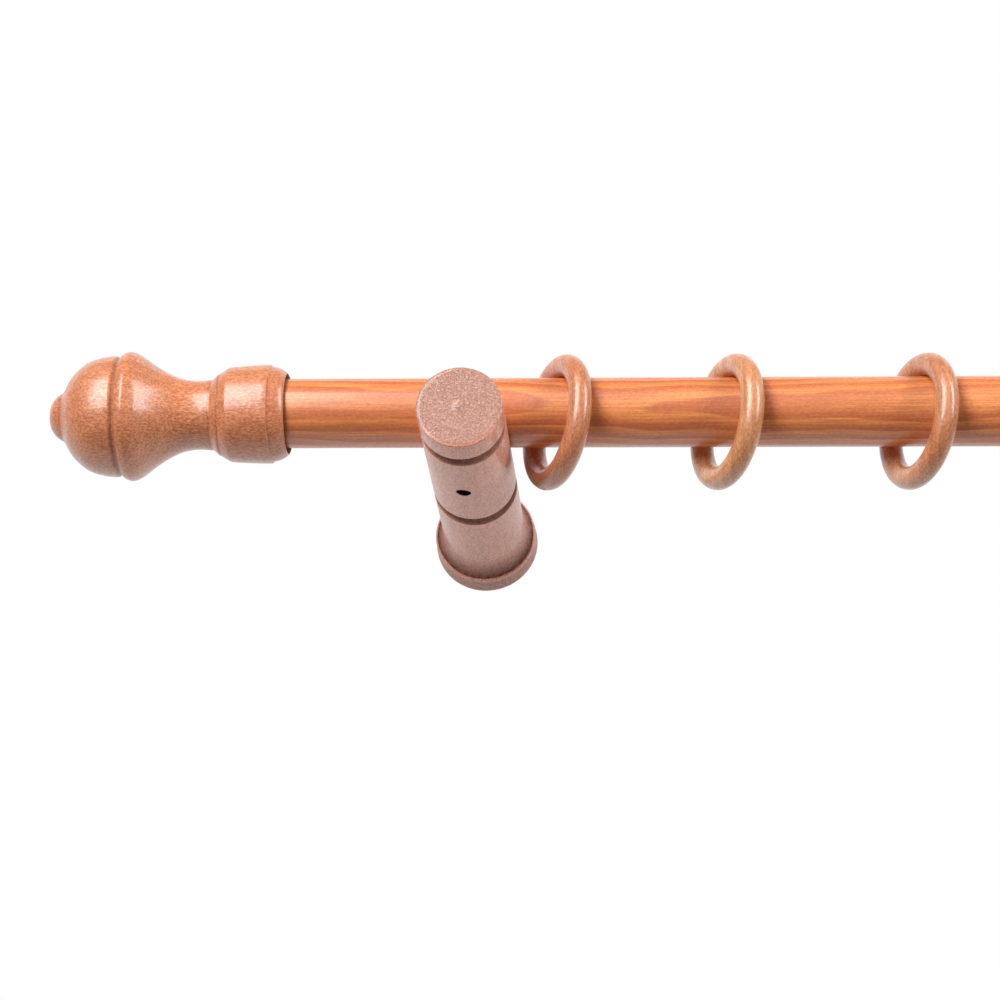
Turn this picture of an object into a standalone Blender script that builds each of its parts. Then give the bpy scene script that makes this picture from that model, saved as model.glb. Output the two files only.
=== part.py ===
"""Turned wooden curtain rod on two wall brackets, with ball finials and rings.

Metres, +Z up. The wall is the plane Y = 0 and the room is on its -Y side. The
origin lies on the wall, midway between the brackets, at the height of their arms.
X runs along the rod.
"""

import math

import bmesh
import bpy
from mathutils import Matrix, Vector

# ---- driving dimensions -------------------------------------------------------
GAP = 0.0003                 # room left between pieces that touch

ROD_R = 0.014                # 28 mm rod
ROD_HALF = 0.600             # half of the rod's length
ROD_Y = -0.096               # rod axis, out from the wall
ROD_Z = 0.018                # rod axis, above the arm axis

BRACKET_X = 0.503            # arm axis of each bracket, either side of the middle
ARM_R = 0.017
ARM_LENGTH = 0.142           # wall to front face
ARM_CHAMFER = 0.0007
GROOVE_OFFSET = 0.0302       # groove middles, in front of and behind the rod axis
GROOVE_WIDTH = 0.0068
GROOVE_DEPTH = 0.0022
FLANGE_R = 0.0214
FLANGE_FRONT_R = 0.0210
FLANGE_THICK = 0.0115
FLANGE_CHAMFER = 0.0006
COVE_LENGTH = 0.0140
COVE_RISE = 0.0034
BACK_RECESS_R = 0.0050       # relief round the wall plug
BACK_RECESS_DEPTH = 0.0020
SADDLE_R = ROD_R + GAP

LOCK_X = -0.0015             # lock screw, sideways from the arm axis
LOCK_HEAD_R = 0.0027
LOCK_HEAD_HEIGHT = 0.0024
LOCK_CREST_R = 0.0019
LOCK_ROOT_R = 0.0014
LOCK_PITCH = 0.0024
LOCK_BITE = 0.0080           # how far the screw reaches into the rod
COUNTERBORE_R = 0.0030
COUNTERBORE_DEPTH = 0.0085
LOCK_HOLE_R = LOCK_CREST_R + GAP

BOLT_CREST_R = 0.0024
BOLT_ROOT_R = 0.0018
BOLT_PITCH = 0.0050
BOLT_IN_ARM = 0.0280
BOLT_IN_WALL = 0.0340
BOLT_HOLE_R = BOLT_CREST_R + GAP
PLUG_R = 0.0040
PLUG_BARB_R = 0.0044
PLUG_LENGTH = 0.0380

FINIAL_LENGTH = 0.0973       # mouth to button tip
FINIAL_MOUTH = 0.5767        # mouth of each finial, out from the middle
SOCKET_DEPTH = ROD_HALF + GAP - FINIAL_MOUTH
SOCKET_R = ROD_R + GAP
SOCKET_FLARE = 0.0012        # chamfer round the socket's mouth

RING_R = 0.0230              # middle of the section
RING_SECTION_R = 0.0047
RING_TURN = math.radians(27)
RING_GAP = 0.0004
RING_X = (0.035, 0.103, 0.179, 0.264, 0.351, 0.437,
          0.525, 0.612, 0.702, 0.790, 0.881, 0.969)   # from the left bracket

RING_STEPS = 26
RING_SIDES = 8
TURNED_STEPS = 28
ROD_STEPS = 36
SMALL_STEPS = 10

# ---- colours: base colour, roughness, metallic ---------------------------------
OAK_STAIN = ((0.62, 0.25, 0.11, 1), 0.32, 0.0)
BEECH = ((0.66, 0.30, 0.15, 1), 0.34, 0.0)
PALE_BEECH = ((0.55, 0.34, 0.25, 1), 0.50, 0.0)
HONEY_BEECH = ((0.68, 0.35, 0.18, 1), 0.25, 0.0)
BLACKED_STEEL = ((0.03, 0.03, 0.03, 1), 0.45, 0.9)
ZINC = ((0.62, 0.62, 0.60, 1), 0.35, 1.0)
NYLON = ((0.55, 0.56, 0.57, 1), 0.55, 0.0)


# ---- helpers --------------------------------------------------------------------
def clear_scene():
    for obj in list(bpy.data.objects):
        bpy.data.objects.remove(obj, do_unlink=True)


def material(name, finish):
    colour, roughness, metallic = finish
    mat = bpy.data.materials.new(name)
    mat.use_nodes = True
    shader = mat.node_tree.nodes["Principled BSDF"]
    shader.inputs["Base Color"].default_value = colour
    shader.inputs["Roughness"].default_value = roughness
    shader.inputs["Metallic"].default_value = metallic
    return mat


def place(bm, name, finish, location, smooth=True):
    """Turn a finished bmesh into a named object with its own material."""
    bmesh.ops.remove_doubles(bm, verts=bm.verts, dist=1e-6)
    bmesh.ops.recalc_face_normals(bm, faces=bm.faces)
    mesh = bpy.data.meshes.new(name)
    bm.to_mesh(mesh)
    bm.free()
    if smooth:
        mesh.shade_smooth()
        mesh.set_sharp_from_angle(angle=math.radians(35))
    obj = bpy.data.objects.new(name, mesh)
    obj.location = location
    bpy.context.collection.objects.link(obj)
    mesh.materials.append(material(name, finish))
    return obj


def turn(profile, axis, steps):
    """Spin (distance along axis, radius) points into a closed turned solid."""
    bm = bmesh.new()
    along = Vector(axis)
    side = Vector((0, 0, 1))
    verts = [bm.verts.new(along * distance + side * radius) for distance, radius in profile]
    edges = [bm.edges.new(pair) for pair in zip(verts, verts[1:])]
    bmesh.ops.spin(bm, geom=verts + edges, cent=(0, 0, 0), axis=along,
                   angle=2 * math.pi, steps=steps, use_merge=True)
    return bm


def arc(centre, radii, start, end, points):
    """Points on an ellipse of (distance, radius) space, angles in degrees."""
    out = []
    for i in range(points):
        angle = math.radians(start + (end - start) * i / (points - 1))
        out.append((centre[0] + radii[0] * math.cos(angle),
                    centre[1] + radii[1] * math.sin(angle)))
    return out


def cutter(name, target, radius, depth, centre, axis, steps):
    """A round cutter through centre along axis, taken away from target."""
    bm = bmesh.new()
    turned = Vector((0, 0, 1)).rotation_difference(Vector(axis)).to_matrix().to_4x4()
    bmesh.ops.create_cone(bm, cap_ends=True, segments=steps, radius1=radius,
                          radius2=radius, depth=depth,
                          matrix=Matrix.Translation(centre) @ turned)
    mesh = bpy.data.meshes.new(name)
    bm.to_mesh(mesh)
    bm.free()
    obj = bpy.data.objects.new(name, mesh)
    obj.hide_render = True
    obj.display_type = 'WIRE'
    bpy.context.collection.objects.link(obj)
    obj.location = target.location
    cut = target.modifiers.new(name, 'BOOLEAN')
    cut.operation = 'DIFFERENCE'
    cut.solver = 'EXACT'
    cut.object = obj


def threaded(start, end, root, crest, pitch):
    """Ridges of a screw thread between two distances, drawn as rings."""
    out = []
    count = int((end - start) / pitch)
    for i in range(count):
        here = start + i * pitch
        out += [(here, root), (here + 0.5 * pitch, crest)]
    return out + [(start + count * pitch, root)]


# ---- pieces -----------------------------------------------------------------------
def make_bracket(name, x):
    """Arm and wall flange, turned from one piece of wood, with a saddle on top."""
    back = -BACK_RECESS_DEPTH
    rim = -FLANGE_THICK
    cove_start = rim - COVE_LENGTH
    profile = [(-BOLT_IN_ARM - 2 * GAP, 0), (-BOLT_IN_ARM - 2 * GAP, BOLT_HOLE_R),
               (back, BOLT_HOLE_R), (back, BACK_RECESS_R), (0, BACK_RECESS_R),
               (0, FLANGE_R - FLANGE_CHAMFER), (-FLANGE_CHAMFER, FLANGE_R),
               (rim + FLANGE_CHAMFER, FLANGE_FRONT_R), (rim, FLANGE_FRONT_R - FLANGE_CHAMFER)]
    profile += arc((cove_start, ARM_R + COVE_RISE), (COVE_LENGTH, COVE_RISE), -3, -90, 5)
    for offset in (GROOVE_OFFSET, -GROOVE_OFFSET):
        middle = ROD_Y + offset
        profile += [(middle + GROOVE_WIDTH / 2, ARM_R),
                    (middle + GROOVE_WIDTH / 8, ARM_R - GROOVE_DEPTH),
                    (middle - GROOVE_WIDTH / 8, ARM_R - GROOVE_DEPTH),
                    (middle - GROOVE_WIDTH / 2, ARM_R)]
    profile += [(-ARM_LENGTH + ARM_CHAMFER, ARM_R), (-ARM_LENGTH, ARM_R - ARM_CHAMFER),
                (-ARM_LENGTH, 0)]
    obj = place(turn(profile, (0, 1, 0), TURNED_STEPS), name, PALE_BEECH, (x, 0, 0))
    cutter(name + "_saddle_cutter", obj, SADDLE_R, 4 * ARM_R,
           (0, ROD_Y, ROD_Z), (1, 0, 0), ROD_STEPS)
    cutter(name + "_screw_cutter", obj, LOCK_HOLE_R, 2 * ARM_R,
           (LOCK_X, ROD_Y, 0), (0, 0, 1), 2 * SMALL_STEPS)
    cutter(name + "_counterbore_cutter", obj, COUNTERBORE_R, 2 * COUNTERBORE_DEPTH,
           (LOCK_X, ROD_Y, -ARM_R), (0, 0, 1), 2 * SMALL_STEPS)
    return obj


def make_hanger_bolt(name, x):
    """Headless double-ended screw: one end in the arm, the other in the wall plug."""
    profile = [(-BOLT_IN_ARM, 0)]
    profile += threaded(-BOLT_IN_ARM, BOLT_IN_WALL, BOLT_ROOT_R, BOLT_CREST_R, BOLT_PITCH)
    profile += [(BOLT_IN_WALL, 0)]
    return place(turn(profile, (0, 1, 0), SMALL_STEPS), name, ZINC, (x, 0, 0))


def make_wall_plug(name, x):
    """Nylon plug that sits in the wall behind the flange, with three barbs."""
    bottom = PLUG_LENGTH - 0.0015
    profile = [(bottom, 0), (bottom, BOLT_HOLE_R), (GAP, BOLT_HOLE_R), (GAP, PLUG_R)]
    for i in range(3):
        start = PLUG_LENGTH * (0.25 + 0.2 * i)
        profile += [(start, PLUG_R), (start + 0.0005, PLUG_BARB_R), (start + 0.005, PLUG_R)]
    profile += [(PLUG_LENGTH, 0.8 * PLUG_R), (PLUG_LENGTH, 0)]
    return place(turn(profile, (0, 1, 0), 16), name, NYLON, (x, 0, 0))


def make_rod():
    """Plain 28 mm dowel, eased at its ends, with a pilot hole over each lock screw."""
    ease = 0.0006
    profile = [(-ROD_HALF, 0), (-ROD_HALF, ROD_R - ease), (-ROD_HALF + ease, ROD_R),
               (ROD_HALF - ease, ROD_R), (ROD_HALF, ROD_R - ease), (ROD_HALF, 0)]
    obj = place(turn(profile, (1, 0, 0), ROD_STEPS), "rod", OAK_STAIN, (0, ROD_Y, ROD_Z))
    for side, x in (("left", -BRACKET_X), ("right", BRACKET_X)):
        cutter("rod_pilot_cutter_" + side, obj, LOCK_HOLE_R, 2 * (LOCK_BITE + 2 * GAP),
               (x + LOCK_X, 0, -ROD_R), (0, 0, 1), 2 * SMALL_STEPS)
    return obj


def make_lock_screw(name, x):
    """Short screw up through the arm that keeps the rod in its saddle."""
    seat = -ARM_R + COUNTERBORE_DEPTH - GAP
    tip = ROD_Z - ROD_R + LOCK_BITE
    profile = [(seat - LOCK_HEAD_HEIGHT, 0), (seat - LOCK_HEAD_HEIGHT, 0.8 * LOCK_HEAD_R),
               (seat - 0.6 * LOCK_HEAD_HEIGHT, LOCK_HEAD_R), (seat, LOCK_HEAD_R)]
    profile += threaded(seat, tip - 2 * LOCK_PITCH, LOCK_ROOT_R, LOCK_CREST_R, LOCK_PITCH)
    profile += [(tip, 0)]
    bm = bmesh.new()
    verts = [bm.verts.new((radius, 0, distance)) for distance, radius in profile]
    edges = [bm.edges.new(pair) for pair in zip(verts, verts[1:])]
    bmesh.ops.spin(bm, geom=verts + edges, cent=(0, 0, 0), axis=(0, 0, 1),
                   angle=2 * math.pi, steps=SMALL_STEPS, use_merge=True)
    return place(bm, name, BLACKED_STEEL, (x + LOCK_X, ROD_Y, 0))


def finial_profile():
    """(distance from the mouth, radius) of the finial, from its socket to its tip."""
    profile = [(SOCKET_DEPTH, 0), (SOCKET_DEPTH, SOCKET_R), (SOCKET_FLARE, SOCKET_R),
               (0, SOCKET_R + SOCKET_FLARE), (0, 0.0163)]
    profile += arc((0.0062, 0.0163), (0.0062, 0.0037), 168, 92, 3)     # rounded lip
    profile += [(0.0080, 0.01985), (0.0230, 0.0190)]                   # collar
    profile += [(0.0255, 0.0180), (0.0290, 0.0160), (0.0300, 0.0141)]  # step to the neck
    profile += [(0.0340, 0.0139)]
    profile += arc((0.0355, 0.0261), (0.0262, 0.0122), -84, -12, 6)     # flare
    profile += [(0.0642, 0.0262), (0.0665, 0.0253), (0.0690, 0.02465)]  # bead
    profile += arc((0.0700, 0.0103), (0.0206, 0.0143), 84, 14, 7)       # bulb
    profile += arc((0.0910, 0.0040), (FINIAL_LENGTH - 0.0910, 0.0060), 72, 0, 4)   # button
    return profile + [(FINIAL_LENGTH, 0)]


def make_finial(name, direction):
    """Turned end knob whose blind socket slips over the end of the rod."""
    bm = turn(finial_profile(), (direction, 0, 0), TURNED_STEPS)
    return place(bm, name, BEECH, (direction * FINIAL_MOUTH, ROD_Y, ROD_Z))


def ring_mesh():
    """One wooden ring in the XZ plane, swung round the vertical as it hangs."""
    bm = bmesh.new()
    turned = Matrix.Rotation(math.pi / 2, 4, 'Y') @ Matrix.Translation((RING_R, 0, 0))
    verts = []
    for i in range(RING_SIDES):
        angle = 2 * math.pi * i / RING_SIDES
        across = (RING_SECTION_R * math.cos(angle), 0, RING_SECTION_R * math.sin(angle))
        verts.append(bm.verts.new(turned @ Vector(across)))
    edges = [bm.edges.new((verts[i - 1], verts[i])) for i in range(RING_SIDES)]
    bmesh.ops.spin(bm, geom=verts + edges, cent=(0, 0, 0), axis=(1, 0, 0),
                   angle=2 * math.pi, steps=RING_STEPS, use_merge=True)
    bmesh.ops.rotate(bm, verts=bm.verts, cent=(0, 0, 0),
                     matrix=Matrix.Rotation(RING_TURN, 3, 'Z'))
    return bm


def make_rings():
    hang = ROD_R + RING_GAP + RING_SECTION_R - RING_R
    rings = []
    for i, along in enumerate(RING_X):
        where = (-BRACKET_X + along, ROD_Y, ROD_Z + hang)
        rings.append(place(ring_mesh(), f"ring_{i + 1:02d}", HONEY_BEECH, where))
    return rings


def adopt(parent, children):
    """Parent pieces to the one that carries them, leaving them where they are."""
    for child in children:
        child.location = Vector(child.location) - Vector(parent.location)
        child.parent = parent


def main():
    clear_scene()
    rod = make_rod()
    finials = [make_finial("finial_left", -1), make_finial("finial_right", 1)]
    adopt(rod, finials + make_rings())
    for side, x in (("left", -BRACKET_X), ("right", BRACKET_X)):
        make_bracket("bracket_" + side, x)
        make_hanger_bolt("hanger_bolt_" + side, x)
        make_wall_plug("wall_plug_" + side, x)
        make_lock_screw("lock_screw_" + side, x)


main()
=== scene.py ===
"""Looks of the turned wooden curtain rod: wood, varnish, steel and a plain studio round the fixed frame."""

import math

import bmesh
import bpy
from mathutils import Matrix, Vector


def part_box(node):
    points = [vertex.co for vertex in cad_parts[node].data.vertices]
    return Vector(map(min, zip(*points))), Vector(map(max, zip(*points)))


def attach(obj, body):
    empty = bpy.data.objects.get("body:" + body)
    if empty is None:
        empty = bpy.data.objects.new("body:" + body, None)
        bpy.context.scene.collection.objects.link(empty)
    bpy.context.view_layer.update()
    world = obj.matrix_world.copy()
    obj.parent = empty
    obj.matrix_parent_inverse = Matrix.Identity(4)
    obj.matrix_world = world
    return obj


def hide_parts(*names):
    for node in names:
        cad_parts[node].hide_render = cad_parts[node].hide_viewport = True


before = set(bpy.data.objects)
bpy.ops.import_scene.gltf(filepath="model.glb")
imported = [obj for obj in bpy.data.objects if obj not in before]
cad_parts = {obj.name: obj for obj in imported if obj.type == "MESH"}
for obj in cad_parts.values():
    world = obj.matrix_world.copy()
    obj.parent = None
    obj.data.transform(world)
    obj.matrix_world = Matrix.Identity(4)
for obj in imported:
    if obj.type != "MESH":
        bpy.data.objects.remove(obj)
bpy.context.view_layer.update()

# ---- sizes, in metres ----------------------------------------------------------------------
ROD_LOW, ROD_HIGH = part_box("rod")
ROD_AXIS = (ROD_LOW + ROD_HIGH) / 2
ROD_R = (ROD_HIGH.z - ROD_LOW.z) / 2
ROD_EASE = 0.0008            # how far the rod's ends are rounded over
FIT = 0.0003                 # room between a turned piece and what it sits on
FINIAL_SLACK = 0.0005        # the sockets are looser, so the finials droop a little
FINIAL_DROOP = math.radians(0.8)

ARM_R = 0.0170
FACE_EASE = 0.0007           # the front face is dubbed over at its edge: this deep
FACE_ROUND = 0.0018          # and this far in
NUB_R = 0.0016               # what the parting tool left in the middle of the face
NUB_HEIGHT = 0.0006
GROOVE_OFFSET = 0.0302       # groove middles, in front of and behind the rod
GROOVE_HALF = 0.0034
GROOVE_DEPTH = 0.0022
FLANGE_THICK = 0.0115
FLANGE_EASE = 0.0008
FLANGE_TAPER = 0.0004        # the flange is this much smaller at the front of its rim
COVE_LENGTH = 0.0140
COVE_RISE = 0.0034
BOLT_HOLE_R = 0.0027
BOLT_HOLE_DEPTH = 0.0286
PLUG_RECESS_R = 0.0050
PLUG_RECESS_DEPTH = 0.0020
SCREW_HOLE_R = 0.0022
COUNTERBORE_R = 0.0030
COUNTERBORE_DEPTH = 0.0085

RING_SECTION_R = 0.0047
RING_TURN = math.radians(27)
RING_REST = 0.00035          # the rings are let down onto the rod

SCREW_HEAD_R = 0.0027
SCREW_HEAD = 0.0024          # height of the lock screw's head
SCREW_ROOT_R = 0.0014
SCREW_CREST_R = 0.0019
SCREW_PITCH = 0.0016
SCREW_POINT = 0.0040
CROSS_WIDTH = 0.0006         # the cross recess in the head
CROSS_DEPTH = 0.0024         # half of this is in the head

BOLT_ROOT_R = 0.0018
BOLT_CREST_R = 0.0024
BOLT_WAIST_R = 0.0023
BOLT_PITCH = 0.0025
BOLT_POINT = 0.0030
BOLT_TIP_R = 0.0004

PLUG_BORE_R = 0.0027
PLUG_R = 0.0040
PLUG_BARB_R = 0.0044
PLUG_END_WALL = 0.0015
PLUG_SLIT = 0.0007

# ---- fineness of the meshes ----------------------------------------------------------------
TURN_STEPS = 112             # facets round a large turned piece
SMALL_STEPS = 32             # and round a small one
SADDLE_STEPS = 96
HOLE_STEPS = 48
GROOVE_STEPS = 10
COVE_STEPS = 20
RING_STEPS = 96
RING_SIDES = 32
ROD_ROW = 0.05               # spacing of the rod's rows of faces
MERGE = 0.000001             # vertices closer than this are one
SLIVER = 0.00001             # faces thinner than this are closed up after a cut
SHARP = math.radians(35)     # edges sharper than this stay crisp

# ---- marks and painted shade on the wood ---------------------------------------------------
RIM_STAIN = 0.5              # stain on the flange's rim, from 0 for none to 1 for all that the wood takes
# painted shade in the saddle under the rod, on the same scale
SADDLE_SHADE = 0.5
HOLE_SHADE = 1.6                  # painted shade: the wall of the counterbore is painted near black
HOLE_SHADE_STARTS, HOLE_SHADE_ENDS = 1.1, 1.5   # past all the stain that the wood takes, it turns to near-black painted shade
# how honey-coloured each ring's own board is, from 0 to 1
RING_BOARDS = (0.05, 0.85, 0.35, 0.20, 0.70, 0.10, 0.45, 0.90, 0.25, 0.60, 0.00, 0.50)

# ---- camera: from the point of the rod's axis over the left arm ----------------------------
CAMERA_OFFSET = Vector((0.1258, -1.2774, -0.5773))
CAMERA_UP = math.radians(22.81)
CAMERA_LEFT = math.radians(5.04)
CAMERA_ROLL = math.radians(1.87)
CAMERA_LENS = 126.0

# ---- studio --------------------------------------------------------------------------------
FLOOR_HEIGHT = -1.9
FLOOR_HALF = 9.0
FLOOR_GLOW = 0.86
SWEEP_EDGE = 0.175           # how far round to the wall's side the lit sweep starts, when level,
SWEEP_LEAN = 0.155           # and how much further round it starts overhead

# ---- directions and turns ------------------------------------------------------------------
X_AXIS = (1, 0, 0)
Y_AXIS = (0, 1, 0)
Z_AXIS = (0, 0, 1)
ORIGIN = (0, 0, 0)
FULL_TURN = 2 * math.pi
QUARTER_TURN = math.pi / 2


# ---- modelling helpers ---------------------------------------------------------------------
def stand(name, data):
    """Put a new object into the scene, at the origin."""
    obj = bpy.data.objects.new(name, data)
    bpy.context.collection.objects.link(obj)
    return obj


def pour(bm, mesh):
    """Write a bmesh into a mesh and let the bmesh go."""
    bm.to_mesh(mesh)
    bm.free()
    return mesh


def smooth(mesh):
    """Shade smooth, with a crease at each sharp edge."""
    mesh.shade_smooth()
    mesh.set_sharp_from_angle(angle=SHARP)


def keep(bm, name, finish, body, *stands_for):
    """Finish a bmesh as a named piece that rides on a body in place of CAD nodes."""
    piece = stand(name, pour(bm, bpy.data.meshes.new(name)))
    piece.data.materials.append(finish)
    smooth(piece.data)
    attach(piece, body)
    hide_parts(*stands_for)
    return piece


def mark(bm, layer, amount):
    """Write an amount, worked out from each vertex's place, on a named layer."""
    made = bm.verts.layers.float.new(layer)
    for vert in bm.verts:
        vert[made] = float(amount(vert.co))


def close_up(bm):
    """Merge doubled vertices, then point every face outwards."""
    bmesh.ops.remove_doubles(bm, verts=bm.verts, dist=MERGE)
    bmesh.ops.recalc_face_normals(bm, faces=bm.faces)


def swing(bm, angle, about, centre=ORIGIN):
    """Turn the whole bmesh about the X, Y or Z direction through a point."""
    bmesh.ops.rotate(bm, verts=bm.verts, cent=centre, matrix=Matrix.Rotation(angle, 3, about))


def shift(bm, offset):
    bmesh.ops.translate(bm, verts=bm.verts, vec=offset)


def beside(along):
    """A direction square to an axis: up, or along X where the axis is upright."""
    return Vector(Z_AXIS if abs(along.z) < 0.5 else X_AXIS)


def turned(outline, axis, at, steps=TURN_STEPS):
    """Lathe an outline of (distance, radius, stain and painted shade) points about an axis."""
    bm = bmesh.new()
    stain_shade = bm.verts.layers.float.new("stain_and_painted_shade")
    along = Vector(axis)
    side = beside(along)
    verts = []
    for distance, radius, stain_shade_amount in outline:
        vert = bm.verts.new(along * distance + side * radius)
        vert[stain_shade] = stain_shade_amount
        verts.append(vert)
    edges = [bm.edges.new(pair) for pair in zip(verts, verts[1:])]
    bmesh.ops.spin(bm, geom=verts + edges, cent=ORIGIN, axis=along,
                   angle=FULL_TURN, steps=steps, use_merge=True)
    close_up(bm)
    shift(bm, at)
    return bm


def plain(*points):
    """Outline points with neither stain nor painted shade."""
    return [(distance, radius, 0.0) for distance, radius in points]


def straight(start, end, step=0.003):
    """Evenly spaced points from start up to but not including end."""
    count = max(1, round(math.dist(start, end) / step))
    return plain(*[(start[0] + (end[0] - start[0]) * i / count,
                    start[1] + (end[1] - start[1]) * i / count) for i in range(count)])


def arc(centre, radii, start, end, count):
    """Points along part of an ellipse, from one angle to another in degrees."""
    points = []
    for i in range(count + 1):
        angle = math.radians(start + (end - start) * i / count)
        points.append((centre[0] + radii[0] * math.cos(angle),
                       centre[1] + radii[1] * math.sin(angle)))
    return plain(*points)


def flowing(points, per_span=5):
    """A smooth curve through given points, as a turner's template runs."""
    ends = [points[0], *points, points[-1]]
    out = []
    for before, here, there, after in zip(ends, ends[1:], ends[2:], ends[3:]):
        for i in range(per_span):
            t = i / per_span
            out.append(tuple(
                0.5 * (2 * b + (c - a) * t + (2 * a - 5 * b + 4 * c - d) * t * t
                       + (3 * b - a - 3 * c + d) * t * t * t)
                for a, b, c, d in zip(before, here, there, after)))
    return plain(*out, points[-1])


def groove(middle):
    """A turned groove in the arm with a rounded bottom, darkened by stain gathered in it and by painted
    shade.
    """
    points = []
    for i in range(GROOVE_STEPS + 1):
        across = 1 - 2 * i / GROOVE_STEPS
        inward = 1 - abs(across)
        dip = inward ** 0.8 * (1 - 0.25 * inward ** 2) / 0.75
        stain_shade_amount = 0.0 if i in (0, GROOVE_STEPS) else 0.60 + 0.35 * inward
        points.append((middle + GROOVE_HALF * across, ARM_R - GROOVE_DEPTH * dip, stain_shade_amount))
    return points


def drum(radius, length, at, axis, steps, row=0.002):
    """A round cutting tool centred on a point."""
    half = length / 2
    wall = straight((-half, radius), (half, radius), row)
    outline = [(-half, 0, 0), *wall, (half, radius, 0), (half, 0, 0)]
    return turned(outline, axis, Vector(at), steps)


def bar(size, at, angle=0.0):
    """A square cutting tool, turned about the vertical."""
    bm = bmesh.new()
    place = Matrix.Translation(at) @ Matrix.Rotation(angle, 4, 'Z') @ Matrix.Diagonal((*size, 1))
    bmesh.ops.create_cube(bm, size=1.0, matrix=place)
    return bm


def carve(piece, *tools):
    """Cut each tool's shape out of a piece and leave the cut mesh on it."""
    cutters = []
    for tool in tools:
        cutter = stand("cutting_tool", pour(tool, bpy.data.meshes.new("cutting_tool")))
        cut = piece.modifiers.new("cut", 'BOOLEAN')
        cut.operation = 'DIFFERENCE'
        cut.solver = 'EXACT'
        cut.object = cutter
        cutters.append(cutter)
    seen = piece.evaluated_get(bpy.context.evaluated_depsgraph_get())
    carved = bpy.data.meshes.new_from_object(seen)
    piece.modifiers.clear()
    bm = bmesh.new()
    bm.from_mesh(carved)
    bmesh.ops.dissolve_degenerate(bm, edges=bm.edges, dist=SLIVER)
    close_up(bm)
    piece.data = pour(bm, carved)
    for cutter in cutters:
        bpy.data.objects.remove(cutter, do_unlink=True)
    smooth(piece.data)


def add_thread(bm, axis, start, length, root, crest, pitch, at):
    """Wind a V thread round a shank, from start along the axis."""
    along = Vector(axis)
    side = beside(along)
    turns = length / pitch
    steps = int(turns * SMALL_STEPS)
    sunk = 0.9 * root
    ridge = [(-0.32, sunk), (-0.06, crest), (0.06, crest), (0.32, sunk)]
    verts = [bm.verts.new(Vector(at) + along * (start + lift * pitch) + side * radius)
             for lift, radius in ridge]
    edges = [bm.edges.new((verts[i - 1], verts[i])) for i in range(len(verts))]
    made = bmesh.ops.spin(bm, geom=verts + edges, cent=at, axis=along, steps=steps,
                          angle=FULL_TURN * turns, dvec=along * (length / steps))
    ends = set(verts) | {v for v in made["geom_last"] if isinstance(v, bmesh.types.BMVert)}
    loose = [e for e in bm.edges if e.is_boundary and ends.issuperset(e.verts)]
    bmesh.ops.holes_fill(bm, edges=loose)
    bmesh.ops.recalc_face_normals(bm, faces=bm.faces)


# ---- shader helpers ------------------------------------------------------------------------
def group(name, inputs, outputs):
    """A new shader group with named sockets, and its input and output nodes."""
    tree = bpy.data.node_groups.new(name, 'ShaderNodeTree')
    for label, kind, default in inputs:
        socket = tree.interface.new_socket(label, in_out='INPUT', socket_type=kind)
        if default is not None:
            socket.default_value = default
    for label, kind in outputs:
        tree.interface.new_socket(label, in_out='OUTPUT', socket_type=kind)
    return tree, tree.nodes.new('NodeGroupInput'), tree.nodes.new('NodeGroupOutput')


def placed_group(tree, made, **values):
    """A shader group placed in a material with its own values, as in Ring_Spacing=0.004."""
    node = tree.nodes.new('ShaderNodeGroup')
    node.node_tree = made
    for label, value in values.items():
        node.inputs[label.replace("_", " ")].default_value = value
    return node


def math_node(tree, operation, first, second=None, third=None):
    """A math node; numbers go on its sockets and outputs are linked to them."""
    node = tree.nodes.new('ShaderNodeMath')
    node.operation = operation
    for socket, value in zip(node.inputs, (first, second, third)):
        if value is None:
            continue
        if isinstance(value, (int, float)):
            socket.default_value = value
        else:
            tree.links.new(value, socket)
    return node.outputs[0]


def stretched_noise(tree, vector, stretch, detail, roughness):
    """Noise on a vector scaled by stretch, in features per metre along each axis."""
    scaled = tree.nodes.new('ShaderNodeVectorMath')
    scaled.operation = 'MULTIPLY'
    tree.links.new(vector, scaled.inputs[0])
    scaled.inputs[1].default_value = stretch
    noise = tree.nodes.new('ShaderNodeTexNoise')
    noise.inputs["Scale"].default_value = 1.0
    noise.inputs["Detail"].default_value = detail
    noise.inputs["Roughness"].default_value = roughness
    tree.links.new(scaled.outputs[0], noise.inputs["Vector"])
    return noise.outputs[0]


def band(tree, value, low, high, bottom=0.0, top=1.0):
    """Map a value smoothly from low..high to bottom..top."""
    node = tree.nodes.new('ShaderNodeMapRange')
    node.interpolation_type = 'SMOOTHSTEP'
    tree.links.new(value, node.inputs["Value"])
    node.inputs["From Min"].default_value = low
    node.inputs["From Max"].default_value = high
    node.inputs["To Min"].default_value = bottom
    node.inputs["To Max"].default_value = top
    return node.outputs[0]


def tint(tree, factor, under, over, strength=1.0):
    """Mix from one colour to another by a mask times a strength."""
    node = tree.nodes.new('ShaderNodeMix')
    node.data_type = 'RGBA'
    tree.links.new(math_node(tree, 'MULTIPLY', factor, strength), node.inputs["Factor"])
    for socket, value in ((node.inputs["A"], under), (node.inputs["B"], over)):
        if isinstance(value, tuple):
            socket.default_value = (*value, 1)
        else:
            tree.links.new(value, socket)
    return node.outputs["Result"]


def marked(tree, layer):
    """What mark() or turned() wrote on a named layer."""
    node = tree.nodes.new('ShaderNodeAttribute')
    node.attribute_name = layer
    return node.outputs["Fac"]


def emboss(tree, shader, height, depth):
    """Bump a shader's surface by a height mask, depth metres deep."""
    relief = tree.nodes.new('ShaderNodeBump')
    relief.inputs["Distance"].default_value = depth
    tree.links.new(height, relief.inputs["Height"])
    tree.links.new(relief.outputs["Normal"], shader.inputs["Normal"])


def blank(name):
    """A new material with its node tree and its Principled shader."""
    mat = bpy.data.materials.new(name)
    mat.use_nodes = True
    tree = mat.node_tree
    return mat, tree, tree.nodes["Principled BSDF"]


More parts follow.
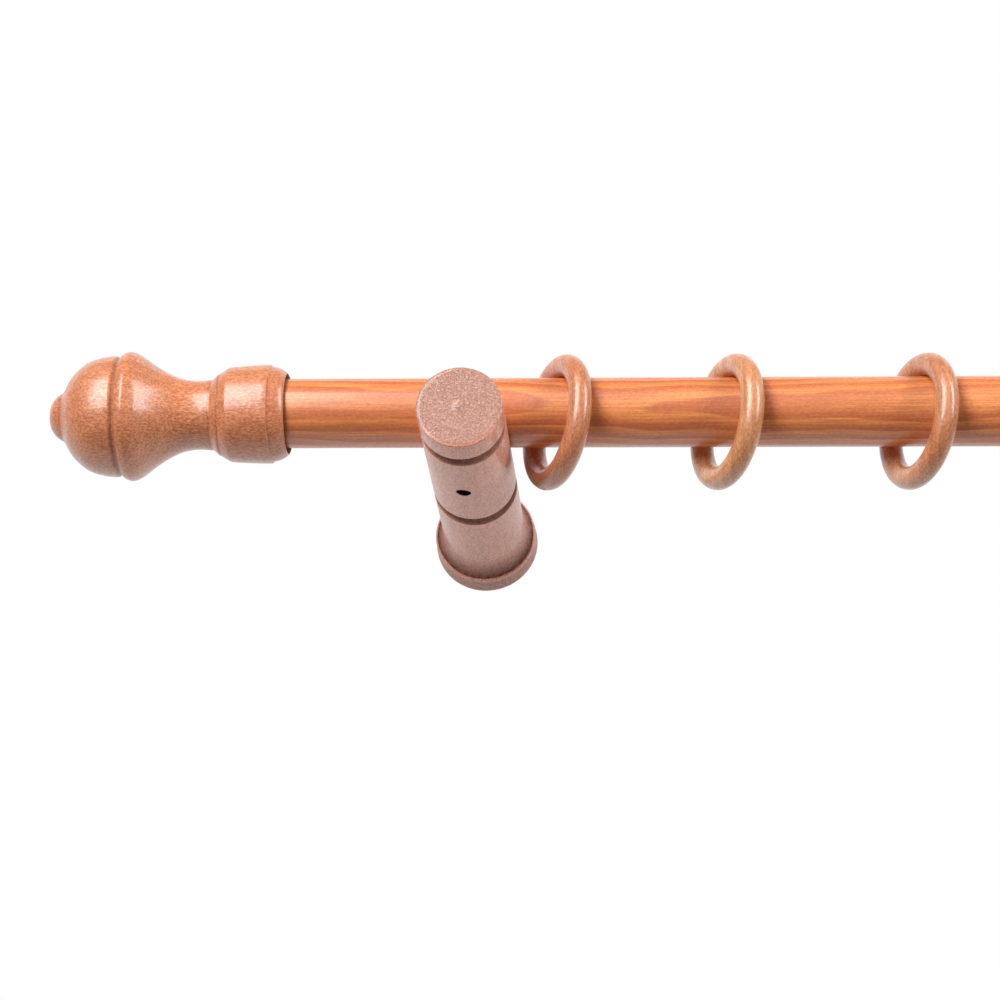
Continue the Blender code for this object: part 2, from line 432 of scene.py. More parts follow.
# ---- shader groups -------------------------------------------------------------------------
# noise, in features per metre along the grain and both ways across it
RING_WAVER = (10, 24, 24)
FIBRES = (30, 1500, 1500)
FLECKS = (650, 1400, 1400)
SLOW_TONE = (9, 38, 38)
SMEARS = (40, 40, 40)
BRUSH_RIPPLE = (60, 900, 900)
ORANGE_PEEL = (700, 700, 700)
RAGGEDNESS = (500, 500, 500)


def make_grain_group():
    """Growth rings, fibres, flecks and slow changes of tone; the grain runs along X."""
    tree, given, result = group(
        "sawn wood grain",
        [("Vector", 'NodeSocketVector', None), ("Ring Spacing", 'NodeSocketFloat', 0.003),
         ("Waver", 'NodeSocketFloat', 0.004)],
        [("Rings", 'NodeSocketFloat'), ("Fibre", 'NodeSocketFloat'),
         ("Dark Flecks", 'NodeSocketFloat'), ("Light Flecks", 'NodeSocketFloat'),
         ("Tone", 'NodeSocketFloat')])
    vector = given.outputs["Vector"]
    parts = tree.nodes.new('ShaderNodeSeparateXYZ')
    tree.links.new(vector, parts.inputs[0])
    across = math_node(tree, 'MULTIPLY', parts.outputs["Y"], parts.outputs["Y"])
    up = math_node(tree, 'MULTIPLY', parts.outputs["Z"], parts.outputs["Z"])
    from_pith = math_node(tree, 'SQRT', math_node(tree, 'ADD', across, up))
    waver = stretched_noise(tree, vector, RING_WAVER, detail=2.0, roughness=0.55)
    waver = math_node(tree, 'SUBTRACT', waver, 0.5)
    pushed = math_node(tree, 'MULTIPLY_ADD', waver, given.outputs["Waver"], from_pith)
    year = math_node(tree, 'DIVIDE', pushed, given.outputs["Ring Spacing"])
    growth = math_node(tree, 'FRACT', year)
    early = band(tree, growth, 0.0, 0.72)
    late = band(tree, growth, 0.86, 1.0, bottom=1.0, top=0.0)
    tree.links.new(math_node(tree, 'MULTIPLY', early, late), result.inputs["Rings"])
    fibre = stretched_noise(tree, vector, FIBRES, detail=4.0, roughness=0.6)
    tree.links.new(band(tree, fibre, 0.36, 0.64), result.inputs["Fibre"])
    flecks = stretched_noise(tree, vector, FLECKS, detail=3.0, roughness=0.6)
    tree.links.new(band(tree, flecks, 0.50, 0.64), result.inputs["Dark Flecks"])
    tree.links.new(band(tree, flecks, 0.50, 0.38), result.inputs["Light Flecks"])
    tone = stretched_noise(tree, vector, SLOW_TONE, detail=3.0, roughness=0.5)
    tree.links.new(band(tree, tone, 0.30, 0.70), result.inputs["Tone"])
    return tree


def make_handling_group():
    """Smears, brush marks, orange peel and worn edges, for gloss, relief and colour."""
    tree, given, result = group(
        "varnish and handling",
        [("Vector", 'NodeSocketVector', None), ("Brush Marks", 'NodeSocketFloat', 0.5)],
        [("Dulling", 'NodeSocketFloat'), ("Height", 'NodeSocketFloat'),
         ("Worn Edge", 'NodeSocketFloat'), ("Ragged", 'NodeSocketFloat')])
    vector = given.outputs["Vector"]
    smears = stretched_noise(tree, vector, SMEARS, detail=4.0, roughness=0.6)
    tree.links.new(band(tree, smears, 0.35, 0.75), result.inputs["Dulling"])
    ripple = stretched_noise(tree, vector, BRUSH_RIPPLE, detail=2.0, roughness=0.5)
    orange_peel = stretched_noise(tree, vector, ORANGE_PEEL, detail=2.0, roughness=0.5)
    brushed = math_node(tree, 'MULTIPLY', ripple, given.outputs["Brush Marks"])
    tree.links.new(math_node(tree, 'ADD', brushed, orange_peel), result.inputs["Height"])
    shape = tree.nodes.new('ShaderNodeNewGeometry')
    ragged = stretched_noise(tree, vector, RAGGEDNESS, detail=3.0, roughness=0.6)
    edge = math_node(tree, 'MULTIPLY_ADD', ragged, 0.06, shape.outputs["Pointiness"])
    tree.links.new(band(tree, edge, 0.545, 0.585), result.inputs["Worn Edge"])
    tree.links.new(band(tree, ragged, 0.40, 0.60), result.inputs["Ragged"])
    return tree


GRAIN = make_grain_group()
HANDLING = make_handling_group()

# ---- materials -----------------------------------------------------------------------------
END_GRAIN = (0.36, 0.21, 0.165)
# near-black painted shade for the screw hole
HOLE_SHADE_COLOUR = (0.010, 0.005, 0.003)
BARE_STEEL = (0.55, 0.54, 0.52)
ALONG_X = (0.0, 0.0, 0.0)
ALONG_Y = (0.0, 0.0, -QUARTER_TURN)
ALONG_Z = (0.0, QUARTER_TURN, 0.0)


def turned_wood(name, grain_turn, pith, spacing, light, dark, pale, fleck, glint, stain_shade, rough,
                coat_rough, waver, rings, tone, fibre, flecks, glints, coat, honey=None,
                relief_depth=0.00008):
    """Stained and varnished wood whose growth rings lie round a pith beside the piece."""
    mat, tree, shader = blank(name)
    where = tree.nodes.new('ShaderNodeTexCoord')
    turn = tree.nodes.new('ShaderNodeMapping')
    turn.inputs["Rotation"].default_value = grain_turn
    turn.inputs["Location"].default_value = pith
    tree.links.new(where.outputs["Object"], turn.inputs["Vector"])
    grain = placed_group(tree, GRAIN, Ring_Spacing=spacing, Waver=waver)
    handling = placed_group(tree, HANDLING, Brush_Marks=0.8)
    for node in (grain, handling):
        tree.links.new(turn.outputs["Vector"], node.inputs["Vector"])
    open_grain = marked(tree, "open_grain")
    stain_shade_amount = marked(tree, "stain_and_painted_shade")

    # colour: rings, tone and fibres, then open grain, flecks and worn edges, then stain and painted shade,
    # then near-black painted shade in the screw hole
    if honey:
        light = tint(tree, marked(tree, "board_tone"), light, honey, strength=0.8)
    colour = tint(tree, grain.outputs["Rings"], light, dark, rings)
    colour = tint(tree, grain.outputs["Tone"], colour, pale, tone)
    colour = tint(tree, grain.outputs["Fibre"], colour, dark, fibre)
    colour = tint(tree, open_grain, colour, END_GRAIN, strength=0.7)
    colour = tint(tree, grain.outputs["Dark Flecks"], colour, fleck, flecks)
    colour = tint(tree, grain.outputs["Light Flecks"], colour, glint, glints)
    colour = tint(tree, handling.outputs["Worn Edge"], colour, pale, strength=0.5)
    # stain and painted shade in grooves, creases, recesses and the saddle, made a little uneven
    uneven = math_node(tree, 'MULTIPLY_ADD', handling.outputs["Ragged"], 0.16, 0.86)
    colour = tint(tree, math_node(tree, 'MULTIPLY', stain_shade_amount, uneven), colour, stain_shade)
    # near-black painted shade in the screw hole
    colour = tint(tree, band(tree, stain_shade_amount, HOLE_SHADE_STARTS, HOLE_SHADE_ENDS), colour, HOLE_SHADE_COLOUR)
    tree.links.new(colour, shader.inputs["Base Color"])

    # gloss: handling, dark flecks, stain and painted shade dull it, and the varnish is thin where there is
    # stain and painted shade
    dull = math_node(tree, 'MULTIPLY_ADD', handling.outputs["Dulling"], 0.12, rough)
    dull = math_node(tree, 'MULTIPLY_ADD', grain.outputs["Dark Flecks"], 0.10, dull)
    dull = math_node(tree, 'MULTIPLY_ADD', stain_shade_amount, 0.25, dull)
    tree.links.new(dull, shader.inputs["Roughness"])
    tree.links.new(band(tree, stain_shade_amount, 0.0, 1.0, coat, 0.2 * coat), shader.inputs["Coat Weight"])
    shader.inputs["Coat Roughness"].default_value = coat_rough

    # relief: flecks sink or stand in the varnish, and open grain is three times as rough
    height = math_node(tree, 'MULTIPLY_ADD', grain.outputs["Dark Flecks"], -0.6,
                       handling.outputs["Height"])
    height = math_node(tree, 'MULTIPLY_ADD', grain.outputs["Light Flecks"], 0.5, height)
    rougher = math_node(tree, 'MULTIPLY_ADD', open_grain, 2.0, 1.0)
    emboss(tree, shader, math_node(tree, 'MULTIPLY', height, rougher), relief_depth)
    return mat


def screw_steel(name, colour, rough, metallic, spread):
    """Plated or blacked steel with a slightly uneven skin."""
    mat, tree, shader = blank(name)
    where = tree.nodes.new('ShaderNodeTexCoord')
    handling = placed_group(tree, HANDLING, Brush_Marks=0.2)
    tree.links.new(where.outputs["Object"], handling.inputs["Vector"])
    lighter = tuple(min(1.0, c * spread + 0.01) for c in colour)
    skin = tint(tree, handling.outputs["Dulling"], colour, lighter, strength=0.6)
    skin = tint(tree, handling.outputs["Worn Edge"], skin, BARE_STEEL, strength=0.5)
    tree.links.new(skin, shader.inputs["Base Color"])
    tree.links.new(math_node(tree, 'MULTIPLY_ADD', handling.outputs["Dulling"], 0.15, rough),
                   shader.inputs["Roughness"])
    shader.inputs["Metallic"].default_value = metallic
    return mat


def plug_plastic(name):
    """Grey moulded nylon, faintly mottled."""
    mat, tree, shader = blank(name)
    where = tree.nodes.new('ShaderNodeTexCoord')
    handling = placed_group(tree, HANDLING, Brush_Marks=0.1)
    tree.links.new(where.outputs["Object"], handling.inputs["Vector"])
    skin = tint(tree, handling.outputs["Dulling"], (0.33, 0.34, 0.35), (0.42, 0.43, 0.44))
    tree.links.new(skin, shader.inputs["Base Color"])
    emboss(tree, shader, handling.outputs["Height"], depth=0.00005)
    tree.links.new(math_node(tree, 'MULTIPLY_ADD', handling.outputs["Dulling"], 0.1, 0.45),
                   shader.inputs["Roughness"])
    shader.inputs["Subsurface Weight"].default_value = 0.1
    shader.inputs["Subsurface Radius"].default_value = (0.001, 0.001, 0.001)
    return mat


ROD_WOOD = turned_wood(
    "stained rod wood", (0.323, 0.004, 0.006), (1.2965, 0.1244, 0.0251), 0.0042,
    light=(0.77, 0.268, 0.072), dark=(0.42, 0.082, 0.026), pale=(0.81, 0.335, 0.118),
    fleck=(0.38, 0.08, 0.028), glint=(0.80, 0.36, 0.12), stain_shade=(0.05, 0.015, 0.008),
    rough=0.37, coat_rough=0.22, waver=0.016, rings=0.75, tone=0.22, fibre=0.50,
    flecks=0.25, glints=0.14, coat=0.55, relief_depth=0.00003)
FINIAL_WOOD = turned_wood(
    "stained finial beech", ALONG_X, (0.1, 0.130, 0.020), 0.0055,
    light=(0.60, 0.192, 0.074), dark=(0.31, 0.064, 0.023), pale=(0.63, 0.244, 0.100),
    fleck=(0.22, 0.046, 0.020), glint=(0.78, 0.41, 0.18), stain_shade=(0.17, 0.036, 0.014),
    rough=0.34, coat_rough=0.25, waver=0.010, rings=0.28, tone=0.30, fibre=0.30,
    flecks=0.42, glints=0.36, coat=0.75)
BRACKET_WOOD = turned_wood(
    "stained bracket beech", ALONG_Y, (0.0, 0.03, 0.05), 0.0060,
    light=(0.70, 0.275, 0.172), dark=(0.47, 0.152, 0.090), pale=(0.72, 0.33, 0.23),
    fleck=(0.31, 0.085, 0.050), glint=(0.84, 0.52, 0.40), stain_shade=(0.085, 0.022, 0.014),
    rough=0.46, coat_rough=0.17, waver=0.008, rings=0.18, tone=0.30, fibre=0.28,
    flecks=0.36, glints=0.30, coat=0.45)
RING_WOOD = turned_wood(
    "honey ring beech", ALONG_Z, (0.02, 0.10, 0.03), 0.0040,
    light=(0.56, 0.188, 0.074), dark=(0.30, 0.070, 0.027), pale=(0.62, 0.270, 0.12),
    fleck=(0.25, 0.060, 0.025), glint=(0.74, 0.38, 0.18), stain_shade=(0.13, 0.04, 0.016),
    rough=0.34, coat_rough=0.25, waver=0.012, rings=0.40, tone=0.35, fibre=0.42,
    flecks=0.35, glints=0.30, coat=0.85, honey=(0.76, 0.37, 0.135), relief_depth=0.00006)
BLACK_SCREW = screw_steel("blacked screw steel", (0.022, 0.021, 0.020), rough=0.38,
                          metallic=0.6, spread=1.8)
ZINC = screw_steel("bright zinc plate", (0.56, 0.57, 0.58), rough=0.24,
                   metallic=1.0, spread=1.15)
NYLON = plug_plastic("grey plug nylon")


# ---- pieces --------------------------------------------------------------------------------
def make_rod():
    """The dowel, with eased ends and a pilot hole over each lock screw."""
    low, high = ROD_LOW.x, ROD_HIGH.x
    eased_r = ROD_R - ROD_EASE
    outline = plain((low, 0), (low, ROD_R - 2 * ROD_EASE), (low, eased_r))
    outline += arc((low + ROD_EASE, eased_r), (ROD_EASE, ROD_EASE), 170, 100, 3)
    outline += straight((low + ROD_EASE, ROD_R), (high - ROD_EASE, ROD_R), ROD_ROW)
    outline += arc((high - ROD_EASE, eased_r), (ROD_EASE, ROD_EASE), 90, 10, 4)
    outline += plain((high, eased_r), (high, ROD_R - 2 * ROD_EASE), (high, 0))
    at = Vector((0, ROD_AXIS.y, ROD_AXIS.z))
    rod = keep(turned(outline, X_AXIS, at), "turned_rod", ROD_WOOD, "rod", "rod")
    tools = []
    for side in ("left", "right"):
        low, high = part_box("lock_screw_" + side)
        depth = 2 * (high.z + 2 * FIT - ROD_LOW.z)
        tools.append(drum(SCREW_HOLE_R, depth, ((low.x + high.x) / 2, ROD_AXIS.y, ROD_LOW.z),
                          Z_AXIS, SMALL_STEPS))
    carve(rod, *tools)


def finial_outline(length, socket_depth):
    """Socket, rounded lip, collar, neck, flare, bead, bulb and end button, from the mouth."""
    # the socket and its mouth, painted dark as shade
    bore = ROD_R + FINIAL_SLACK
    outline = [(socket_depth, 0, 1.0), (socket_depth, bore, 1.0)]
    outline += [(d, bore, 1.0) for d in (0.018, 0.013, 0.009, 0.0050)]
    outline += [(0.0022, bore + 0.0013, 1.0), (0.0003, bore + 0.0016, 0.7)]
    # the rounded lip, a small step with a painted shadow in it, and the collar
    outline += flowing([(0.0000, 0.0162), (0.0004, 0.0168), (0.0017, 0.01775),
                        (0.0033, 0.01855), (0.0048, 0.0190)], 3)
    outline += [(0.0056, 0.01915, 0.1), (0.0061, 0.01930, 0.25), (0.0064, 0.0197, 0.05)]
    outline += plain((0.0066, 0.01990), (0.0071, 0.01998))
    outline += flowing([(0.0084, 0.01996), (0.0130, 0.01980), (0.0175, 0.01955),
                        (0.0210, 0.01930), (0.0229, 0.01912)], 4)
    outline += flowing([(0.0234, 0.01900), (0.0240, 0.0187), (0.0266, 0.0171)], 3)
    # two steps down to the neck, darkened by stain and painted shade
    outline += [(0.0269, 0.0168, 0.5), (0.0273, 0.01665, 0.3)]
    outline += flowing([(0.0279, 0.01650), (0.0291, 0.0154), (0.0300, 0.0145),
                        (0.0306, 0.01430)], 4)
    outline += [(0.0309, 0.01425, 0.4)]
    # the neck, flaring out to the bead
    outline += flowing([(0.0313, 0.01425), (0.0329, 0.01408), (0.0350, 0.01392),
                        (0.0376, 0.01396), (0.0410, 0.0144), (0.0442, 0.01525),
                        (0.0475, 0.0167), (0.0508, 0.01854), (0.0541, 0.02066),
                        (0.0565, 0.02243), (0.0580, 0.02356), (0.0594, 0.02454),
                        (0.0612, 0.02554), (0.0625, 0.02600), (0.0639, 0.0262),
                        (0.0652, 0.02585), (0.0662, 0.0254), (0.0668, 0.02495)])
    # the crease behind the bead, darkened by stain and painted shade
    outline += [(0.0670, 0.0246, 0.15), (0.0675, 0.0241, 0.4), (0.0681, 0.0239, 0.5),
                (0.0687, 0.0241, 0.35), (0.0692, 0.0244, 0.1)]
    # the bulb, and the button on its end
    outline += flowing([(0.0696, 0.02455), (0.0705, 0.0245), (0.0721, 0.0244),
                        (0.0754, 0.0239), (0.0787, 0.0230), (0.0820, 0.02145),
                        (0.0853, 0.0188), (0.0877, 0.0162), (0.0894, 0.0135),
                        (0.0908, 0.0109)])
    # a crease before the button, darkened by stain and painted shade
    outline += [(0.0914, 0.0102, 0.4), (0.0919, 0.0097, 0.3)]
    outline += flowing([(0.0924, 0.0095), (0.0938, 0.0086), (0.0951, 0.0073),
                        (0.0963, 0.0055), (0.0970, 0.0033)], 4)
    return outline + plain((length - 0.0001, 0.0016), (length, 0))


def make_finial(side, direction):
    """An end knob; its socket slips over the rod's end."""
    low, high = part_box("finial_" + side)
    mouth = high.x if direction < 0 else low.x
    rod_end = ROD_LOW.x if direction < 0 else ROD_HIGH.x
    outline = finial_outline(high.x - low.x, abs(rod_end - mouth) + FIT)
    at = Vector((mouth, ROD_AXIS.y, ROD_AXIS.z))
    bm = turned(outline, (direction, 0, 0), at)
    in_socket = Vector(((mouth + rod_end) / 2, ROD_AXIS.y, ROD_AXIS.z))
    swing(bm, direction * FINIAL_DROOP, 'Y', in_socket)
    shift(bm, (0, 0, -FIT))
    name = "finial_" + side
    finial = keep(bm, "turned_" + name, FINIAL_WOOD, name, name)


def bracket_outline(reach, flange_r):
    """Bolt hole, plug recess, flange, cove, two grooves and the front face, from the wall."""
    cove_start = -FLANGE_THICK - COVE_LENGTH
    front_r = flange_r - FLANGE_TAPER
    outline = plain((-BOLT_HOLE_DEPTH, 0), (-BOLT_HOLE_DEPTH, BOLT_HOLE_R))
    outline += straight((-BOLT_HOLE_DEPTH, BOLT_HOLE_R), (-PLUG_RECESS_DEPTH, BOLT_HOLE_R), 0.005)
    outline += plain((-PLUG_RECESS_DEPTH, BOLT_HOLE_R), (-PLUG_RECESS_DEPTH, PLUG_RECESS_R),
                     (0, PLUG_RECESS_R))
    outline += straight((0, PLUG_RECESS_R), (0, flange_r - FLANGE_EASE), 0.004)
    outline += arc((-FLANGE_EASE, flange_r - FLANGE_EASE), (FLANGE_EASE, FLANGE_EASE), 0, 90, 5)
    rim = straight((-2 * FLANGE_EASE, flange_r), (FLANGE_EASE - FLANGE_THICK, front_r), 0.002)
    outline += [(d, r, RIM_STAIN) for d, r, _ in rim]
    outline += arc((FLANGE_EASE - FLANGE_THICK, front_r - FLANGE_EASE),
                   (FLANGE_EASE, FLANGE_EASE), 90, 165, 5)
    # painted shade where the cove meets the flange, fading out along the cove
    cove = arc((cove_start, ARM_R + COVE_RISE), (COVE_LENGTH, COVE_RISE), -4, -90, COVE_STEPS)
    outline += [(d, r, max(0.0, 1 - i / (COVE_STEPS - 1))) for i, (d, r, _) in enumerate(cove)]
    rear = ROD_AXIS.y + GROOVE_OFFSET
    front = ROD_AXIS.y - GROOVE_OFFSET
    outline += straight((cove_start - 0.001, ARM_R), (rear + GROOVE_HALF, ARM_R))
    outline += groove(rear)
    outline += straight((rear - GROOVE_HALF - 0.0006, ARM_R), (front + GROOVE_HALF, ARM_R))
    outline += groove(front)
    outline += straight((front - GROOVE_HALF - 0.0006, ARM_R), (FACE_EASE - reach, ARM_R))
    outline += arc((FACE_EASE - reach, ARM_R - FACE_ROUND), (FACE_EASE, FACE_ROUND), 90, 176, 9)
    outline += straight((-reach, ARM_R - FACE_ROUND), (-reach, NUB_R), 0.002)
    return outline + plain((-reach, NUB_R), (-reach - 0.3 * NUB_HEIGHT, 0.75 * NUB_R),
                           (-reach - 0.9 * NUB_HEIGHT, 0.3 * NUB_R), (-reach - NUB_HEIGHT, 0))


def paint_shade_in_cuts(mesh, middle, hole_x):
    """Paint shade into the saddle under the rod, and near-black shade into the screw hole."""
    stain_shade_amount = mesh.attributes["stain_and_painted_shade"].data
    open_grain = mesh.attributes["open_grain"].data
    near = 0.1 * FIT
    for i, vert in enumerate(mesh.vertices):
        x, y, z = vert.co
        if math.dist((x, z), (middle.x, middle.z)) > ARM_R - FIT:
            continue
        from_rod = math.dist((y, z), (ROD_AXIS.y, ROD_AXIS.z))
        if math.dist((x, y), (hole_x, ROD_AXIS.y)) < COUNTERBORE_R + near:
            # near-black painted shade in the screw hole
            stain_shade_amount[i].value = HOLE_SHADE
            open_grain[i].value = 0.0
        elif abs(from_rod - ROD_R - FIT) < near:
            # painted shade in the saddle, under the rod
            stain_shade_amount[i].value = SADDLE_SHADE
            open_grain[i].value = 0.0


def make_bracket(side):
    """Arm and flange in one, with a saddle for the rod and a counterbored screw hole."""
    low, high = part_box("bracket_" + side)
    middle = (low + high) / 2
    outline = bracket_outline(high.y - low.y, (high.z - low.z) / 2)
    bm = turned(outline, Y_AXIS, Vector((middle.x, high.y, middle.z)))
    # the front face shows open grain, except on the lower part of its rounded edge, which keeps the darker
    # stained colour as painted shade
    lower_edge = middle.z - 0.45 * ARM_R
    face_r = ARM_R - 0.5 * FACE_ROUND
    mark(bm, "open_grain", lambda co: co.y < low.y + 0.6 * FACE_EASE
         and not (co.z < lower_edge and math.dist((co.x, co.z), (middle.x, middle.z)) > face_r))
    bracket = keep(bm, "turned_bracket_" + side, BRACKET_WOOD, "wall_brackets",
                   "bracket_" + side)
    screw_low, screw_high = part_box("lock_screw_" + side)
    hole_x = (screw_low.x + screw_high.x) / 2
    under = middle.z - ARM_R
    carve(bracket,
          drum(ROD_R + FIT, 4 * ARM_R, (middle.x, ROD_AXIS.y, ROD_AXIS.z), X_AXIS, SADDLE_STEPS),
          drum(SCREW_HOLE_R, 1.6 * ARM_R, (hole_x, ROD_AXIS.y, middle.z), Z_AXIS, HOLE_STEPS),
          drum(COUNTERBORE_R, 2 * COUNTERBORE_DEPTH, (hole_x, ROD_AXIS.y, under), Z_AXIS,
               HOLE_STEPS, 0.0005))
    paint_shade_in_cuts(bracket.data, middle, hole_x)


def make_ring(name, board):
    """A plain turned ring, swung round on the rod; board is the tone of its own timber."""
    low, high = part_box(name)
    middle = (low + high) / 2
    bm = bmesh.new()
    bmesh.ops.create_circle(bm, segments=RING_SIDES, radius=RING_SECTION_R)
    swing(bm, QUARTER_TURN, 'Y')
    swing(bm, QUARTER_TURN, 'Z')
    shift(bm, (0, 0, (high.z - low.z) / 2 - RING_SECTION_R))
    bmesh.ops.spin(bm, geom=bm.verts[:] + bm.edges[:], cent=ORIGIN, axis=X_AXIS,
                   angle=FULL_TURN, steps=RING_STEPS, use_merge=True)
    close_up(bm)
    swing(bm, RING_TURN, 'Z')
    shift(bm, middle + Vector((0, 0, -RING_REST)))
    mark(bm, "board_tone", lambda co: board)
    ring = keep(bm, "turned_" + name, RING_WOOD, name, name)


def make_lock_screw(side):
    """A countersunk cross-head screw, recessed in the arm and biting into the rod."""
    name = "lock_screw_" + side
    low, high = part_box(name)
    middle = (low + high) / 2
    length = high.z - low.z
    outline = plain((0, 0), (0, 0.74 * SCREW_HEAD_R), (0.0001, 0.80 * SCREW_HEAD_R))
    outline += arc((0.4 * SCREW_HEAD, 0.8 * SCREW_HEAD_R), (0.4 * SCREW_HEAD, 0.2 * SCREW_HEAD_R),
                   170, 90, 5)
    outline += plain((SCREW_HEAD, SCREW_HEAD_R), (SCREW_HEAD, SCREW_ROOT_R),
                     (0.5 * length, SCREW_ROOT_R), (length - SCREW_POINT, SCREW_ROOT_R),
                     (length, 0))
    at = Vector((middle.x, ROD_AXIS.y, low.z))
    bm = turned(outline, Z_AXIS, at, SMALL_STEPS)
    screw = keep(bm, "cross_head_" + name, BLACK_SCREW, name, name)
    recess = (1.6 * SCREW_HEAD_R, CROSS_WIDTH, CROSS_DEPTH)
    carve(screw, bar(recess, at), bar(recess, at, QUARTER_TURN))
    bm = bmesh.new()
    bm.from_mesh(screw.data)
    # the thread starts a little past the head and stops just short of the point
    add_thread(bm, Z_AXIS, SCREW_HEAD + 0.0012, length - SCREW_HEAD - 0.0055, SCREW_ROOT_R,
               SCREW_CREST_R, SCREW_PITCH, at)
    smooth(pour(bm, screw.data))


def make_hanger_bolt(side):
    """A headless screw: coarse thread in the arm, plain waist, coarse thread in the plug."""
    name = "hanger_bolt_" + side
    low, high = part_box(name)
    middle = (low + high) / 2
    arm_end, wall_end = low.y + BOLT_POINT, high.y - BOLT_POINT
    outline = plain((low.y, 0), (low.y, BOLT_TIP_R), (arm_end, BOLT_ROOT_R),
                    (-0.006, BOLT_ROOT_R), (-0.005, BOLT_WAIST_R), (-0.0005, BOLT_WAIST_R),
                    (0.0008, BOLT_ROOT_R), (wall_end, BOLT_ROOT_R), (high.y, BOLT_TIP_R),
                    (high.y, 0))
    at = Vector((middle.x, 0, middle.z))
    bm = turned(outline, Y_AXIS, at, SMALL_STEPS)
    add_thread(bm, Y_AXIS, arm_end, -0.008 - low.y, BOLT_ROOT_R, BOLT_CREST_R, BOLT_PITCH, at)
    add_thread(bm, Y_AXIS, 0.0025, high.y - 0.0055, BOLT_ROOT_R, BOLT_CREST_R, BOLT_PITCH, at)
    bolt = keep(bm, "double_ended_" + name, ZINC, "wall_brackets", name)


def make_wall_plug(side):
    """A moulded plug with three barbs and a slit so that it can spread."""
    name = "wall_plug_" + side
    low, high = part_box(name)
    middle = (low + high) / 2
    length = high.y - low.y
    bottom = length - PLUG_END_WALL
    outline = plain((bottom, 0), (bottom, PLUG_BORE_R))
    outline += straight((bottom, PLUG_BORE_R), (0, PLUG_BORE_R), 0.006)
    outline += plain((0, PLUG_BORE_R), (0, PLUG_R - 0.0003), (0.0003, PLUG_R))
    for share in (0.25, 0.45, 0.65):
        start = share * length
        outline += plain((start, PLUG_R), (start + 0.0005, PLUG_BARB_R), (start + 0.005, PLUG_R))
    outline += plain((length - 0.003, PLUG_R), (length, 0.8 * PLUG_R), (length, 0))
    at = Vector((middle.x, low.y, middle.z))
    plug = keep(turned(outline, Y_AXIS, at, SMALL_STEPS), "moulded_" + name, NYLON,
                "wall_brackets", name)
    slit = bar((3 * PLUG_R, 0.45 * length, PLUG_SLIT), at + Vector((0, 0.52 * length, 0)))
    carve(plug, slit)


# ---- floor, lamps, world and camera --------------------------------------------------------
def make_floor():
    """Pale floor at the height of a room's floor; it shows only from above."""
    bm = bmesh.new()
    bmesh.ops.create_grid(bm, x_segments=1, y_segments=1, size=FLOOR_HALF,
                          matrix=Matrix.Translation((0, 0, FLOOR_HEIGHT)))
    floor = stand("floor", pour(bm, bpy.data.meshes.new("floor")))
    mat, tree, shader = blank("pale studio floor")
    shader.inputs["Base Color"].default_value = (0.14, 0.14, 0.14, 1)
    shader.inputs["Roughness"].default_value = 0.9
    shader.inputs["Specular IOR Level"].default_value = 0.0
    shader.inputs["Emission Color"].default_value = (1.0, 1.0, 0.99, 1)
    shader.inputs["Emission Strength"].default_value = FLOOR_GLOW
    facing = tree.nodes.new('ShaderNodeNewGeometry')
    clear = tree.nodes.new('ShaderNodeBsdfTransparent')
    either = tree.nodes.new('ShaderNodeMixShader')
    tree.links.new(facing.outputs["Backfacing"], either.inputs[0])
    tree.links.new(shader.outputs[0], either.inputs[1])
    tree.links.new(clear.outputs[0], either.inputs[2])
    tree.links.new(either.outputs[0], tree.nodes["Material Output"].inputs["Surface"])
    floor.data.materials.append(mat)
    floor.visible_glossy = False
    floor.visible_diffuse = False


def softbox(name, aim, azimuth, elevation, distance, width, height, power):
    """A large soft lamp; azimuth is left (-) or right (+) of straight in front."""
    lamp = bpy.data.lights.new(name, 'AREA')
    lamp.shape = 'RECTANGLE'
    lamp.size = width
    lamp.size_y = height
    lamp.energy = power
    obj = stand(name, lamp)
    side, up = math.radians(azimuth), math.radians(elevation)
    back = Vector((math.sin(side) * math.cos(up), -math.cos(side) * math.cos(up), math.sin(up)))
    obj.location = aim + back * distance
    obj.rotation_euler = back.to_track_quat('Z', 'Y').to_euler()
    obj.visible_camera = False


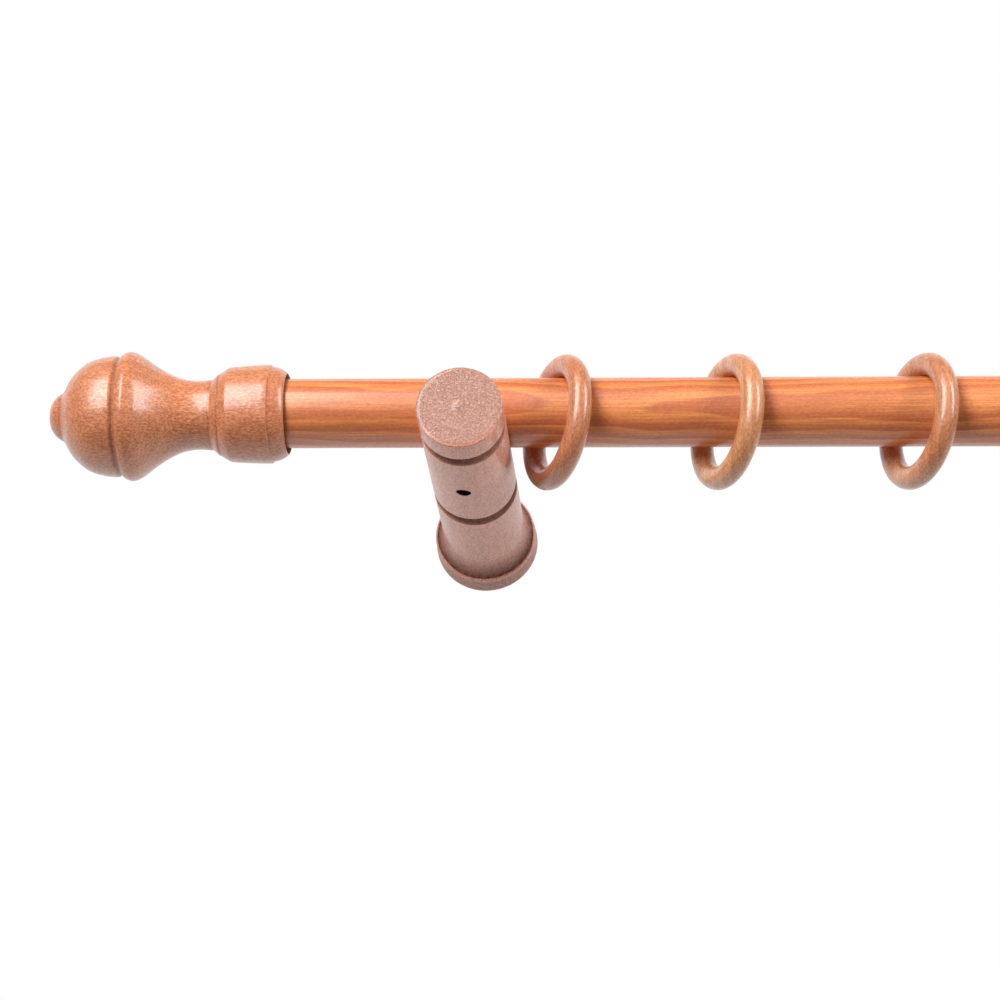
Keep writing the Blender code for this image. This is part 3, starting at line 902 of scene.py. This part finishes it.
def make_world(front, behind):
    """White all round to the eye; light comes mostly from a white sweep behind and below."""
    world = bpy.data.worlds.new("white studio")
    bpy.context.scene.world = world
    world.use_nodes = True
    tree = world.node_tree
    plain_white = tree.nodes["Background"]
    plain_white.inputs["Color"].default_value = (1, 1, 1, 1)
    plain_white.inputs["Strength"].default_value = 1.0
    where = tree.nodes.new('ShaderNodeTexCoord')
    parts = tree.nodes.new('ShaderNodeSeparateXYZ')
    tree.links.new(where.outputs["Generated"], parts.inputs[0])
    edge = math_node(tree, 'MULTIPLY_ADD', parts.outputs["Z"], SWEEP_LEAN, SWEEP_EDGE)
    past = math_node(tree, 'SUBTRACT', parts.outputs["Y"], edge)
    lit = tree.nodes.new('ShaderNodeBackground')
    lit.inputs["Color"].default_value = (1, 1, 1, 1)
    tree.links.new(band(tree, past, -0.02, 0.04, front, behind), lit.inputs["Strength"])
    path = tree.nodes.new('ShaderNodeLightPath')
    either = tree.nodes.new('ShaderNodeMixShader')
    tree.links.new(path.outputs["Is Camera Ray"], either.inputs[0])
    tree.links.new(lit.outputs[0], either.inputs[1])
    tree.links.new(plain_white.outputs[0], either.inputs[2])
    tree.links.new(either.outputs[0], tree.nodes["World Output"].inputs["Surface"])


def make_camera():
    """Below the rod and in front of it, looking up at its left end; returns the aim for lamps."""
    camera = bpy.data.cameras.new("camera")
    camera.lens = CAMERA_LENS
    camera.sensor_width = 36.0
    camera.clip_start = 0.05
    camera.clip_end = 50.0
    obj = stand("camera", camera)
    low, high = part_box("bracket_left")
    over_arm = Vector(((low.x + high.x) / 2, ROD_AXIS.y, ROD_AXIS.z))
    obj.rotation_mode = 'QUATERNION'
    turn = (Matrix.Rotation(CAMERA_LEFT, 3, 'Z') @ Matrix.Rotation(QUARTER_TURN + CAMERA_UP, 3, 'X')
            @ Matrix.Rotation(CAMERA_ROLL, 3, 'Z'))
    obj.rotation_quaternion = turn.to_quaternion()
    obj.location = over_arm + CAMERA_OFFSET
    bpy.context.scene.camera = obj
    return over_arm


# ---- make everything -----------------------------------------------------------------------
over_left_arm = make_camera()
make_rod()
make_finial("left", -1)
make_finial("right", 1)
for side in ("left", "right"):
    make_bracket(side)
    make_lock_screw(side)
    make_hanger_bolt(side)
    make_wall_plug(side)
for number, board in enumerate(RING_BOARDS, 1):
    make_ring(f"ring_{number:02d}", board)

make_floor()
make_world(front=0.14, behind=1.07)
softbox("left softbox", over_left_arm, azimuth=-27, elevation=22, distance=2.2,
        width=1.05, height=2.2, power=80)
softbox("right softbox", over_left_arm, azimuth=60, elevation=20, distance=2.2,
        width=0.38, height=1.8, power=38)
bpy.context.scene.view_settings.view_transform = 'Standard'
